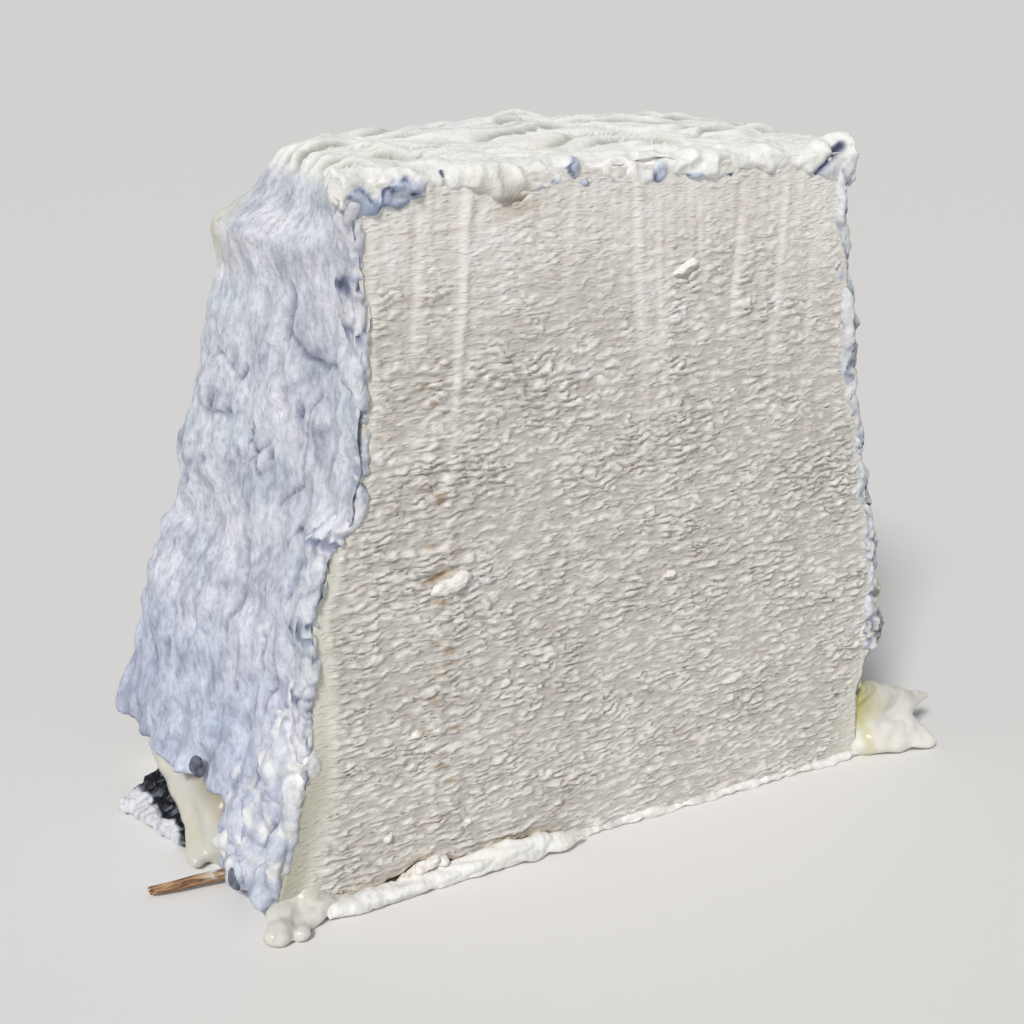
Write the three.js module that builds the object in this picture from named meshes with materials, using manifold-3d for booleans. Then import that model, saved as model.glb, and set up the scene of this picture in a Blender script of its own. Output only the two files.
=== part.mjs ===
// Half of a truncated pyramid of goat's cheese with an ash-coated rind, cut upright through the middle
// and standing on its base. The soft paste has sagged, so the left side bulges at its foot, where the
// rind has torn: a flap of it lies splayed on the table, and a stub of straw from the ripening mat sticks
// out. The rind of the base has come away under the cut face, and the knife has dragged paste out at the
// lower right corner. X runs along the cut face, Y from the cut into the cheese and Z up. The origin is
// the middle of the base, and the unit is the millimetre.
import * as THREE from "three";
import { mergeVertices } from "three/addons/utils/BufferGeometryUtils.js";
import Module from "manifold-3d";

const BASE_WIDTH = 70;
const TOP_WIDTH = 50;
const HEIGHT = 68;
const BASE_DEPTH = 37;
const TOP_DEPTH = 25.5;
const CUT_Y = -17;
const SOFT_EDGE = 3.2;
const CRISP_EDGE = 1.3;
const TOP_CROWN = 1.9;

// How far each upright edge stands outside the straight pyramid, as [height, offset] pairs from base to
// top.
const LEFT_OF_CUT = [[0, 0.6], [7, -0.2], [15, -1.4], [24, -1], [30, -0.4], [35, -1.3], [40, -3.4],
  [48, -3.2], [56, -2.3], [62, -1.1], [68, 0.2]];
const LEFT_AT_BACK = [[0, 6], [7, 7.4], [12, 7.1], [17, 6.6], [25, 6.3], [29, 5], [32, 3.4], [35, 3.8],
  [39, 4.8], [44, 4.1], [52, 3.5], [57, 3], [61.5, 4.4], [65, 0.4], [68, 0]];
const RIGHT_OF_CUT = [[0, -1.2], [8, -0.8], [11, 0.3], [16, 2.8], [20, 1.9], [25, 1.9], [32, 1.5],
  [38, 0.9], [46, 0], [56, 0], [63, -0.3], [68, 1.3]];
const RIGHT_AT_BACK = [[0, 1], [10, 2.6], [22, 2.2], [34, 0.8], [48, 1.4], [60, 0.6], [68, 0]];
const BACK_BULGE = [[0, 0.6], [9, 2.4], [24, 1.8], [40, 0.6], [52, 1.2], [68, 0]];

const CELLS_ACROSS = 35;
const CELLS_DEEP = 18;
const CELLS_HIGH = 32;

// The broad bulges of the rind, its upright wrinkles, and the lumps of its lip round the cut. They fade
// out in the foot, so that the base is flat and its outline plain.
const BULGE = { height: 0.7, wide: 11, tall: 13 };
const WRINKLE = { height: 0.45, wide: 4, tall: 9 };
const LIP = { height: 1.1, wide: 3.4, tall: 3.4 };
const LIP_BAND = { top: 3, side: 1.5 };
const FOOT = 5;

// The rind is torn off the foot of the left side, behind one depth and below a ragged line, and further
// back the paste under it stands further in.
const TEAR = { front: 12, back: 30, height: 6.9, ragged: 0.7, shallow: 1.2, deep: 3.9 };

const { clamp, lerp, smoothstep } = THREE.MathUtils;
const point = (x, deep, z) => new THREE.Vector3(x, CUT_Y + deep, z);

// Smooth steps between the pairs of an outline.
function outline(pairs, height) {
  const last = pairs.length - 1;
  if (height >= pairs[last][0]) return pairs[last][1];
  const i = Math.max(1, pairs.findIndex(([top]) => top > height));
  const [low, from] = pairs[i - 1];
  const [high, to] = pairs[i];
  return lerp(from, to, smoothstep(height, low, high));
}

// Value noise from -1 to 1 on a lattice hashed by a sine, so that every run gives the same lumps.
function lattice(i, j, k) {
  const hash = Math.sin(i * 127.1 + j * 311.7 + k * 74.7) * 43758.5453;
  return (hash - Math.floor(hash)) * 2 - 1;
}

function noise(x, y, z) {
  const [i, j, k] = [x, y, z].map(Math.floor);
  const [u, v, w] = [x - i, y - j, z - k].map((t) => smoothstep(t, 0, 1));
  const edge = (dj, dk) => lerp(lattice(i, j + dj, k + dk), lattice(i + 1, j + dj, k + dk), u);
  return lerp(lerp(edge(0, 0), edge(1, 0), v), lerp(edge(0, 1), edge(1, 1), v), w);
}

function lumps(p, { height, wide, tall }) {
  return height * noise(p.x / wide, p.y / wide, p.z / tall);
}

// How far the torn foot stands back from the rind above it.
function tearDepth(deep, z) {
  const edge = TEAR.height + TEAR.ragged * noise(deep / 2.2, 3.7, 0.5);
  const below = 1 - smoothstep(z, edge - 0.7, edge + 0.7);
  const behind = smoothstep(deep, TEAR.front - 1, TEAR.front + 1);
  return below * behind * lerp(TEAR.shallow, TEAR.deep, smoothstep(deep, TEAR.front, TEAR.back));
}

// How far the lip of the rind stands out of the cut face, at the top edge and the two sides.
function lipHeight(p, left, right) {
  const top = smoothstep(p.z, HEIGHT - LIP_BAND.top - 1, HEIGHT - LIP_BAND.top + 1);
  const side = 1 - smoothstep(Math.min(p.x - left, right - p.x), LIP_BAND.side, LIP_BAND.side + 1.5);
  return Math.max(top, 0.6 * side) * (0.5 * LIP.height + lumps(p, LIP));
}

// A point of the block, from shares of its width (-1 to 1), depth (0 at the cut) and height (0 at the base).
// Its edges are round, apart from the one round the cut.
function blockPoint(across, deep, high) {
  const straight = lerp(BASE_WIDTH, TOP_WIDTH, high) / 2;
  const z = high * HEIGHT;
  const depth = lerp(BASE_DEPTH, TOP_DEPTH, high) + outline(BACK_BULGE, z);
  const bulge = lerp(outline(LEFT_OF_CUT, z), outline(LEFT_AT_BACK, z), smoothstep(deep, -0.1, 0.9));
  const left = tearDepth(deep * depth, z) - straight - bulge;
  const right = straight + lerp(outline(RIGHT_OF_CUT, z), outline(RIGHT_AT_BACK, z), deep);
  const crown = TOP_CROWN * high ** 3 * (1 - Math.abs(across) ** 3) * (1 + 0.3 * across) * Math.sin(deep * 2);
  const p = point(lerp(left, right, (across + 1) / 2), deep * depth, z + crown);
  const edge = lerp(SOFT_EDGE, CRISP_EDGE, (across + 1) / 2);
  const inside = new THREE.Vector3(
    clamp(p.x, left + SOFT_EDGE, right - CRISP_EDGE),
    Math.min(p.y, CUT_Y + depth - SOFT_EDGE),
    Math.min(p.z, HEIGHT + crown - edge),
  );
  const out = p.clone().sub(inside);
  const reach = Math.max(Math.abs(out.x), Math.abs(out.y), Math.abs(out.z));
  if (deep === 0) p.y -= lipHeight(p, left, right);
  if (reach === 0) return p;
  const withinCut = deep === 0 && Math.abs(across) < 1 && high < 1;
  const relief = withinCut ? 0 : smoothstep(z, 0, FOOT) * (lumps(p, BULGE) + lumps(p, WRINKLE));
  const moved = inside.addScaledVector(out.normalize(), reach + relief);
  if (deep === 0) moved.y = p.y;
  return moved;
}

function blockShape() {
  const box = new THREE.BoxGeometry(2, 1, 1, CELLS_ACROSS, CELLS_DEEP, CELLS_HIGH);
  const at = box.attributes.position;
  for (let i = 0; i < at.count; i += 1) {
    const p = blockPoint(at.getX(i), at.getY(i) + 0.5, at.getZ(i) + 0.5);
    at.setXYZ(i, p.x, p.y, p.z);
  }
  return box;
}

// A tongue of rind or paste that follows a curve: half its width and half its thickness at the root and
// the tip, which way its width runs, and how lumpy its edge is.
function tongueShape(route, { width, thick, across = [0, 1, 0], ragged = 0 }) {
  const curve = new THREE.CatmullRomCurve3(route.map((p) => point(...p)));
  const shape = new THREE.SphereGeometry(1, 12, 10);
  const at = shape.attributes.position;
  const side = new THREE.Vector3(...across).normalize();
  for (let i = 0; i < at.count; i += 1) {
    const along = Math.acos(clamp(at.getY(i), -1, 1)) / Math.PI;
    const round = Math.sin(along * Math.PI) ** 0.4;
    const turn = Math.atan2(at.getZ(i), at.getX(i));
    const normal = curve.getTangent(along).cross(side).normalize();
    const p = curve.getPoint(along);
    const edge = round * (1 + ragged * noise(along * 9, Math.cos(turn) * 1.5, width[0]));
    p.addScaledVector(side, Math.cos(turn) * edge * lerp(width[0], width[1], along));
    p.addScaledVector(normal, Math.sin(turn) * edge * lerp(thick[0], thick[1], along));
    at.setXYZ(i, p.x, p.y, p.z);
  }
  return shape;
}

const wasm = await Module();
wasm.setup();

function solid(shape) {
  shape.deleteAttribute("normal");
  shape.deleteAttribute("uv");
  const merged = mergeVertices(shape, 1e-4);
  return new wasm.Manifold(new wasm.Mesh({
    numProp: 3,
    vertProperties: merged.attributes.position.array,
    triVerts: new Uint32Array(merged.index.array),
  }));
}

// The geometry of a solid's largest shell, so that no sealed hollow or loose scrap is left.
function geometryOf(body) {
  const shells = body.decompose();
  const { vertProperties, triVerts } = shells.reduce((a, b) => (a.volume() > b.volume() ? a : b)).getMesh();
  return new THREE.BufferGeometry()
    .setAttribute("position", new THREE.BufferAttribute(vertProperties, 3))
    .setIndex(new THREE.BufferAttribute(triVerts, 1));
}

// The flap of torn rind, with its root in the foot of the left side and its tip on the table.
const flap = tongueShape(
  [[-36.5, 19, 2.8], [-39.8, 21.4, 2.2], [-42.4, 24, 1.4], [-44.6, 26.4, 0.8]],
  { width: [7, 1.2], thick: [1.2, 0.9], across: [0, 0.96, 0.28], ragged: 0.2 },
);

// The lobe of rind that hangs over the near foot, with a knob under its tip.
const lobe = [
  tongueShape(
    [[-32.4, 4.5, 15], [-34.6, 5.5, 9.5], [-35.5, 4, 5], [-35.6, 1.8, 1.4]],
    { width: [5.5, 2.4], thick: [2, 1.6], ragged: 0.2 },
  ),
  tongueShape([[-33.5, 5.4, 1.3], [-36.9, 5.2, 1.1]], { width: [1.7, 1.4], thick: [1.5, 1.3] }),
];

// The paste that has crept out under the tear, and the two drips at the near corner.
const creep = [
  tongueShape(
    [[-34, 16, 2.4], [-37.5, 15, 2.2], [-40.2, 12.4, 0.6]],
    { width: [4.5, 0.9], thick: [2.6, 0.7] },
  ),
  tongueShape(
    [[-32.5, 2.5, 2.5], [-35, -0.8, 1.8], [-36, -4.2, 1]],
    { width: [2.8, 1.8], thick: [2.8, 1.5], across: [1, 0, 0] },
  ),
  tongueShape(
    [[-31, 1.5, 1.5], [-33, -1.6, 1.2], [-34.2, -5, 0.8]],
    { width: [2, 1.4], thick: [1.8, 1.2], across: [1, 0, 0] },
  ),
];

// The rind of the base where it has come away under the cut face.
const strip = [
  tongueShape(
    [[-34, -1.4, 0.6], [-25, -2.2, 0.8], [-14, -2.2, 0.9], [-3, -1.8, 0.6]],
    { width: [2.2, 1.6], thick: [1, 0.8], ragged: 0.25 },
  ),
  tongueShape(
    [[-8, -0.4, 0.5], [6, -0.8, 0.7], [16, -0.8, 0.8], [32, -0.8, 0.5]],
    { width: [1.5, 1.5], thick: [1.1, 1], ragged: 0.3 },
  ),
];

// Paste dragged out by the knife at the lower right corner, in two points.
const smear = [
  tongueShape(
    [[31, 0.5, 2.4], [36, -1.2, 2.5], [40.5, -1.6, 1.7], [45.3, -1.4, 0.7]],
    { width: [2.6, 0.7], thick: [3.2, 0.8] },
  ),
  tongueShape(
    [[31, 2, 4], [36.5, 1.4, 4.5], [41, 1.4, 4.2], [45.6, 1.8, 3.5]],
    { width: [2.4, 0.8], thick: [4, 0.8] },
  ),
];

// The ear of rind at the upper right corner of the cut.
const ear = tongueShape(
  [[17, 1.4, 67.4], [22, 0.8, 68], [26.9, 0.6, 68.1]],
  { width: [1.6, 1.3], thick: [1.2, 1.3] },
);

// Crumbs raised on the cut face: place across, height, half length, half height and slope in degrees.
const CRUMBS = [
  [-17.3, 31.3, 1.9, 0.75, 20],
  [8, 58, 1.7, 0.7, 25],
  [-21, 16.4, 1.2, 0.5, 0],
  [-23.8, 6.3, 1, 0.8, 50],
];
const CRUMB_PROUD = 0.9;
const crumbs = CRUMBS.map(([x, z, long, tall, slope]) => {
  const crumb = new THREE.SphereGeometry(1, 8, 6);
  crumb.scale(long, CRUMB_PROUD, tall);
  crumb.rotateY(-THREE.MathUtils.degToRad(slope));
  return crumb.translate(x, CUT_Y, z);
});

// The stub of straw: a flattened stalk with a slight bend, its root in a socket in the foot of the
// cheese.
const STRAW = {
  wide: 0.65,
  tall: 0.55,
  root: [-33.8, 8.2, 1.1],
  bend: [-39.5, 8.4, 1],
  tip: [-44.9, 9.4, 0.66],
};
const STRAW_GAP = 0.3;

function stalk(gap) {
  const route = [STRAW.root, STRAW.bend, STRAW.tip].map((p) => point(...p));
  const inwards = route[0].clone().sub(route[1]).normalize();
  route[0].addScaledVector(inwards, gap);
  const section = new THREE.Shape();
  section.absellipse(0, 0, STRAW.tall + gap, STRAW.wide + gap, 0, Math.PI * 2);
  return new THREE.ExtrudeGeometry(section, {
    steps: 6,
    curveSegments: 5,
    bevelEnabled: false,
    extrudePath: new THREE.CatmullRomCurve3(route),
  });
}

const table = new THREE.BoxGeometry(2 * BASE_WIDTH, 2 * BASE_WIDTH, BASE_WIDTH);
table.translate(0, 0, -BASE_WIDTH / 2);
const pieces = [flap, ...lobe, ...creep, ...strip, ...smear, ear, ...crumbs];
const whole = pieces.reduce((body, piece) => body.add(solid(piece)), solid(blockShape()));
const socket = solid(stalk(STRAW_GAP));

const cheese = new THREE.Mesh(
  geometryOf(whole.subtract(solid(table)).subtract(socket)),
  new THREE.MeshStandardMaterial({ color: 0xd3cfc4, roughness: 0.75, metalness: 0 }),
);
cheese.name = "cheese";

const straw = new THREE.Mesh(
  stalk(0),
  new THREE.MeshStandardMaterial({ color: 0x9a6a3c, roughness: 0.8, metalness: 0 }),
);
straw.name = "straw";

const group = new THREE.Group();
group.add(cheese, straw);

export default group;
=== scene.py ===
import math

import bmesh
import bpy
import numpy as np
from mathutils import Euler, Matrix, Vector, noise


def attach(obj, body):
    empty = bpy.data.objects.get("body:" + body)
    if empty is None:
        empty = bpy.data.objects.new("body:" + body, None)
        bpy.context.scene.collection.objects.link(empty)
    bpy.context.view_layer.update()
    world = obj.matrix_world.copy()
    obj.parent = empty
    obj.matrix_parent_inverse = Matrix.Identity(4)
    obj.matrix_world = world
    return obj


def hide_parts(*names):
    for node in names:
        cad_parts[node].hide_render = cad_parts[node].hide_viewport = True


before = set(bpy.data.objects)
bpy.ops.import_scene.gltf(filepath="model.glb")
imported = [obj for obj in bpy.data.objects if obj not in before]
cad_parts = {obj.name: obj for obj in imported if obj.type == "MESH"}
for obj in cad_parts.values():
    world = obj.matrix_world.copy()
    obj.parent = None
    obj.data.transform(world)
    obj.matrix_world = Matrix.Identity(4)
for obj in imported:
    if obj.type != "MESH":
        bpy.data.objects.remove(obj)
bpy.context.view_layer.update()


# Paste
# The inside of the cheese: a dense, slightly moist curd, cut upright with a knife. The blade has torn
# the face into fine ripples and dragged upright lines down it, and has left it smooth at the edge,
# where the paste under the rind has ripened to cream.

# Sizes and places are in mm, and MM turns them to metres. The upright edges are rounded by SOFT_EDGE at
# the left and the back, and by CRISP_EDGE at the right. The top bulges up by about TOP_CROWN.
MM = 0.001
BASE_WIDTH, TOP_WIDTH, HEIGHT = 70, 50, 68
BASE_DEPTH, TOP_DEPTH = 37, 25.5
CUT_Y = -17
SOFT_EDGE, CRISP_EDGE = 3.2, 1.3
TOP_CROWN = 1.9

# How far each upright edge stands outside the straight pyramid: height and offset, from base to top.
LEFT_OF_CUT = [(0, 0.6), (7, -0.2), (15, -1.4), (24, -1), (30, -0.4), (35, -1.3), (40, -3.4), (48, -3.2),
               (56, -2.3), (62, -1.1), (68, 0.2)]
LEFT_AT_BACK = [(0, 6), (7, 7.4), (12, 7.1), (17, 6.6), (25, 6.3), (29, 5), (32, 3.4), (35, 3.8), (39, 4.8),
                (44, 4.1), (52, 3.5), (57, 3), (61.5, 4.4), (65, 0.4), (68, 0)]
RIGHT_OF_CUT = [(0, -1.2), (8, -0.8), (11, 0.3), (16, 2.8), (20, 1.9), (25, 1.9), (32, 1.5), (38, 0.9),
                (46, 0), (56, 0), (63, -0.3), (68, 1.3)]
RIGHT_AT_BACK = [(0, 1), (10, 2.6), (22, 2.2), (34, 0.8), (48, 1.4), (60, 0.6), (68, 0)]
BACK_BULGE = [(0, 0.6), (9, 2.4), (24, 1.8), (40, 0.6), (52, 1.2), (68, 0)]

# The paste is a slab behind the cut, this deep. It lies this far under the block's surface at its front and
# at its back, and its face has this many cells across and up.
SLAB = 5
FRONT_SKIN, BACK_SKIN = 0.3, 1.1
PASTE_CELLS = (232, 400)

# The crack over the base rind, where the blade has pulled the paste away from it: places across and up.
CRACK = [(-29.5, 0.9), (-24, 1.3), (-20.9, 2.7), (-18.5, 1.7), (-15, 1.1), (-11.7, 2.1), (-6.5, 1.6),
         (-4.8, 0.4)]

# The torn strip beside the boldest knife line, the brown pit in it and the stain under the lip: places
# across, or across and up.
TORN_STRIP = -17.6
PIT = (-17.8, 32.2)
LIP_STAIN = (-10, 64.8)

# The knife's upright lines: places across and up, how far the line stands out, and half its width.
KNIFE_LINES = [
    ([(-14.7, 66), (-14.9, 60), (-15.8, 48.5), (-17.2, 30), (-19.1, 8)], 0.38, 0.42),
    ([(2.2, 66), (3.2, 52), (4.5, 36), (3.8, 18), (2.6, 4)], 0.24, 0.5),
    ([(4.2, 66), (5.4, 50), (6.2, 36), (5.2, 20)], 0.16, 0.35),
    ([(18.6, 64), (18.0, 45), (16.6, 25), (15.5, 9)], 0.18, 0.45),
    ([(-4.2, 66), (-4.8, 60), (-5.2, 54)], 0.18, 0.35),
    ([(8.6, 66), (9.2, 60), (9.6, 55)], 0.15, 0.3),
    ([(-19.4, 65), (-19.8, 58), (-20.4, 50)], -0.14, 0.4),
    ([(13.2, 65), (13.0, 58), (12.7, 50)], -0.14, 0.35),
    ([(22.4, 64), (22.2, 50), (21.6, 36)], 0.12, 0.35),
]


def lerp(a, b, share):
    return a + (b - a) * share


def ease(value, low, high):
    """0 below low, 1 above high and a smooth step between."""
    share = np.clip((np.asarray(value, float) - low) / (high - low), 0, 1)
    return share * share * (3 - 2 * share)


def spot(places, middle, half):
    """1 in the middle of a spot or strip with these half sizes, and fading to 0 outside it."""
    gap = ((places - np.array(middle)) / half) ** 2
    return np.exp(-(gap.sum(-1) if gap.ndim > 1 else gap))


def columns(rows):
    return [np.array(column, float) for column in zip(*rows)]


def outline(pairs, height):
    """Smooth steps between the pairs."""
    heights, offsets = columns(pairs)
    i = np.clip(np.searchsorted(heights, height, side="right"), 1, len(pairs) - 1)
    return lerp(offsets[i - 1], offsets[i], ease(height, heights[i - 1], heights[i]))


def waves(points, size, seed=0):
    """Noise from about -1 to 1, whose lumps have this size in mm along X, Y and Z."""
    scaled = points / np.array(size, float) + (seed * 7.13, seed * 3.71, seed * 5.37)
    return np.fromiter((noise.noise(p) for p in scaled.tolist()), float, len(scaled))


def side_edges(deep, z):
    """Where the left and the right side are, at shares of the depth and at heights."""
    straight = lerp(BASE_WIDTH, TOP_WIDTH, z / HEIGHT) / 2
    bulge = lerp(outline(LEFT_OF_CUT, z), outline(LEFT_AT_BACK, z), ease(deep, -0.1, 0.9))
    return -straight - bulge, straight + lerp(outline(RIGHT_OF_CUT, z), outline(RIGHT_AT_BACK, z), deep)


def block_surface(across, deep, high, inset=0.0, left_recess=0.0):
    """The block's surface in mm and the way out of it, at shares of its width, depth and height."""
    z = high * HEIGHT
    depth = lerp(BASE_DEPTH, TOP_DEPTH, high) + outline(BACK_BULGE, z)
    left, right = side_edges(deep, z)
    left = left + left_recess
    crown = TOP_CROWN * high**3 * (1 - abs(across) ** 3) * (1 + 0.3 * across) * np.sin(2 * deep)
    place = np.stack([lerp(left, right, (across + 1) / 2), CUT_Y + deep * depth, z + crown], -1)
    edge = lerp(SOFT_EDGE, CRISP_EDGE, (across + 1) / 2)
    inside = np.stack([
        np.clip(place[:, 0], left + SOFT_EDGE, right - CRISP_EDGE),
        np.minimum(place[:, 1], CUT_Y + depth - SOFT_EDGE),
        np.minimum(place[:, 2], HEIGHT + crown - edge),
    ], -1)
    out = place - inside
    reach = abs(out).max(1)
    out /= np.maximum(np.linalg.norm(out, axis=1), 1e-9)[:, None]
    share = np.minimum(reach / np.where(place[:, 0] > 0, CRISP_EDGE, SOFT_EDGE), 1)
    return inside + out * (reach - inset * share)[:, None], out


def places_of(bm):
    return np.array([v.co for v in bm.verts], float)


def put_places(bm, places):
    """Moves the vertices to places in mm."""
    for vert, place in zip(bm.verts, (places * MM).tolist()):
        vert.co = place


def fields(bm, **values):
    """Keeps values from 0 to 1 at the vertices, which the material reads by name."""
    for name, value in values.items():
        layer = bm.verts.layers.float.new(name)
        amounts = np.broadcast_to(np.clip(value, 0.0, 1.0), len(bm.verts))
        for vert, amount in zip(bm.verts, amounts.tolist()):
            vert[layer] = amount


def pull(bm, rim, way):
    """Draws the open edges out by way, with new faces behind them, and returns the new open edges."""
    made = bmesh.ops.extrude_edge_only(bm, edges=rim)["geom"]
    verts = [g for g in made if isinstance(g, bmesh.types.BMVert)]
    bmesh.ops.translate(bm, verts=verts, vec=way)
    return [g for g in made if isinstance(g, bmesh.types.BMEdge) and g.is_boundary]


def piece_from(bm, name, material):
    """Makes the object of a finished bmesh, and lets it ride on the CAD body."""
    mesh = bpy.data.meshes.new(name)
    bm.to_mesh(mesh)
    bm.free()
    mesh.materials.append(material)
    mesh.shade_smooth()
    piece = bpy.data.objects.new(name, mesh)
    bpy.context.scene.collection.objects.link(piece)
    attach(piece, "root")
    return piece


def linear(hex_colour):
    """An sRGB hex colour as linear RGBA."""
    parts = [int(hex_colour[i:i + 2], 16) / 255 for i in (1, 3, 5)]
    return [c / 12.92 if c <= 0.04045 else ((c + 0.055) / 1.055) ** 2.4 for c in parts] + [1]


def new_material(name):
    material = bpy.data.materials.new(name)
    material.use_nodes = True
    material.node_tree.nodes.clear()
    return material


def add(material, kind, inputs, stops=None, **settings):
    """Adds a node with its settings. An input takes a value or another node's output."""
    tree = material.node_tree
    made = tree.nodes.new(kind)
    for key, value in settings.items():
        setattr(made, key, value)
    if stops:
        elements = made.color_ramp.elements
        while len(elements) < len(stops):
            elements.new(0.5)
        for element, (position, colour) in zip(elements, stops):
            element.position = position
            element.color = linear(colour)
    for key, value in inputs.items():
        if isinstance(value, bpy.types.NodeSocket):
            tree.links.new(value, made.inputs[key])
        else:
            made.inputs[key].default_value = value
    return made


def in_mm(material, stretch=(1, 1, 1)):
    """Object coordinates in mm, for patterns whose scale is then 1 over their size in mm."""
    at = add(material, "ShaderNodeTexCoord", {}).outputs["Object"]
    scale = [1000 / s for s in stretch]
    return add(material, "ShaderNodeMapping", {"Vector": at, "Scale": scale}).outputs["Vector"]


def coats(material, colour, layers):
    """Lays coats over a colour. Each has an amount (a number or a field's name), a colour and a blend."""
    for share, over, blend in layers:
        if isinstance(share, str):
            share = add(material, "ShaderNodeAttribute", {}, attribute_name=share).outputs["Fac"]
        if isinstance(over, str):
            over = linear(over)
        colour = add(material, "ShaderNodeMix", {0: share, 6: colour, 7: over},
                     data_type="RGBA", blend_type=blend).outputs[2]
    return colour


# Fresh goat's curd, drained and pressed by its own weight: an opaque, faintly warm white, dull, greyed by
# painted shade in its hollows. Where it has ripened to cream it is yellower and wetter, and light enters it
# a little.
def curd_material(name, roughness, specular, spotted, grain, glow):
    material = new_material(name)
    mm = in_mm(material)
    cloud, mottle = [
        add(material, "ShaderNodeTexNoise", {"Vector": mm, "Scale": scale, "Detail": detail}).outputs["Fac"]
        for scale, detail in ((0.12, 4), (1.1, 5))]
    curd = add(material, "ShaderNodeValToRGB", {"Fac": cloud},
               stops=[(0.35, "#E8E4DE"), (0.5, "#EFECE7"), (0.68, "#F5F3F0")]).outputs["Color"]
    spots = add(material, "ShaderNodeValToRGB", {"Fac": mottle},
                stops=[(0.32, "#F0E7DF"), (0.5, "#FFFFFF")]).outputs["Color"]
    # The low coat is painted shade in the hollows of the cut face's ripples, and on the foot, the drips and
    # the smear it greys the cream. The shade coat is painted olive-grey shade.
    colour = coats(material, curd, [
        (spotted, spots, "MULTIPLY"), ("low", "#B6B2AA", "MIX"), ("cream", "#DAD9CB", "MIX"),
        ("tan", "#A98A63", "MIX"), ("shade", "#8F8A72", "MIX"), ("olive", "#C4C27C", "MIX")])
    level = in_mm(material, stretch=(0.8, 0.8, 0.3))
    ridges = add(material, "ShaderNodeTexNoise", {"Vector": level, "Scale": 1, "Detail": 3},
                 noise_type="RIDGED_MULTIFRACTAL").outputs["Fac"]
    bump = add(material, "ShaderNodeBump", {"Height": ridges, "Strength": grain, "Distance": 0.0002})
    surface = add(material, "ShaderNodeBsdfPrincipled", {
        "Base Color": colour,
        "Roughness": roughness,
        "Specular IOR Level": specular,
        "Subsurface Weight": glow,
        "Subsurface Radius": (1.0, 0.75, 0.5),
        "Subsurface Scale": 0.0008,
        "Normal": bump.outputs["Normal"],
    }, subsurface_method="RANDOM_WALK")
    add(material, "ShaderNodeOutputMaterial", {"Surface": surface.outputs["BSDF"]})
    return material


curd = curd_material("goat_curd", roughness=0.45, specular=0.4, spotted=0.5, grain=0.8, glow=0)


def cut_relief(places, left_gap, right_gap):
    """How far the cut face stands out of its plane, how creamy and stained each place is, and how much
    painted shade lies in its sunken places.
    """
    x, z = places[:, 0], places[:, 2]
    flat = places * (1, 0, 1)
    level = np.stack([x, 0 * x, z - 0.4 * waves(flat, (5, 1, 6), 2)], -1)
    torn = spot(x, TORN_STRIP, 2.0) * ease(z, 3, 10) * (1 - ease(z, 48, 58))
    rows = level[:, 2] / 0.8 + 1.1 * waves(level, (1.8, 1, 1.3), 3)
    rows += 0.45 * waves(level, (0.75, 1, 0.65), 4)
    broken = ease(waves(level, (1.5, 1, 0.65), 70), -0.4, 0.15)
    coarse = rows % 1 * (1 - ease(rows % 1, 0.72, 1)) * broken
    rows = level[:, 2] / 0.5 + 0.9 * waves(level, (1, 1, 0.75), 5)
    fine = rows % 1 * (1 - ease(rows % 1, 0.66, 1)) * (1 - 0.3 * broken)
    patch = 1 + 0.8 * waves(flat, (7, 1, 5), 6)
    band = lerp(4.8, 1.7, ease(z, 2, 40)) + 0.5 * waves(flat, (1, 1, 5), 7)
    cream = 1 - ease(left_gap, 0.45 * band, band)
    cream = np.maximum(cream, 0.7 * (1 - ease(right_gap, 0.5, lerp(4.2, 1.9, ease(z, 5, 18)))))
    near_top = ease(z, 57, 65)
    calm = np.clip(1 - cream - 0.6 * near_top, 0.06, 1)
    height = 0.25 * waves(flat, (15, 1, 13), 8)
    height += 0.07 * (near_top + 0.3) * waves(flat, (0.6, 1, 16), 9)
    for points, stand, half in KNIFE_LINES:
        across, up = columns(points)
        gap = x - np.interp(z, up[::-1], across[::-1]) - 0.12 * waves(flat, (1, 1, 1.6), 10)
        along = ease(z, up[-1] - 1, up[-1] + 6) * (1 - ease(z, up[0] - 0.5, up[0] + 1.5))
        along *= lerp(0.4, 1, ease(z, 38, 58))
        height += stand * spot(gap, 0, half) * along * (0.75 + 0.5 * waves(flat, (1, 1, 2.2), 11))
        calm *= 1 - 0.7 * spot(gap, 0, 1.8 * half) * along * ease(z, 20, 60)
    height += 0.5 * torn * abs(waves(level, (2.2, 1, 1.3), 62)) * calm
    pit = spot(x, PIT[0], 1.1) * spot(z - 0.2 * (x - PIT[0]), PIT[1], 0.4)
    under_lip = spot(places[:, (0, 2)], LIP_STAIN, (2.2, 0.7))
    specks = ease(waves(flat, (1.3, 1, 0.7), 63), 0.25, 0.5)
    tan = 0.85 * pit + 0.4 * under_lip + (0.45 * torn + 0.14) * specks
    # Painted shade in the hollows of the ripples, with less of it near the top, so the face's upper part
    # looks lighter.
    low = 0.72 * calm * (1 - ease(coarse + 0.4 * fine, 0.1, 0.75)) * (1 - 0.4 * ease(z, 45, 62))
    return height + (0.42 * coarse + 0.2 * fine) * patch * calm - 0.6 * pit, cream, low, tan


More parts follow.
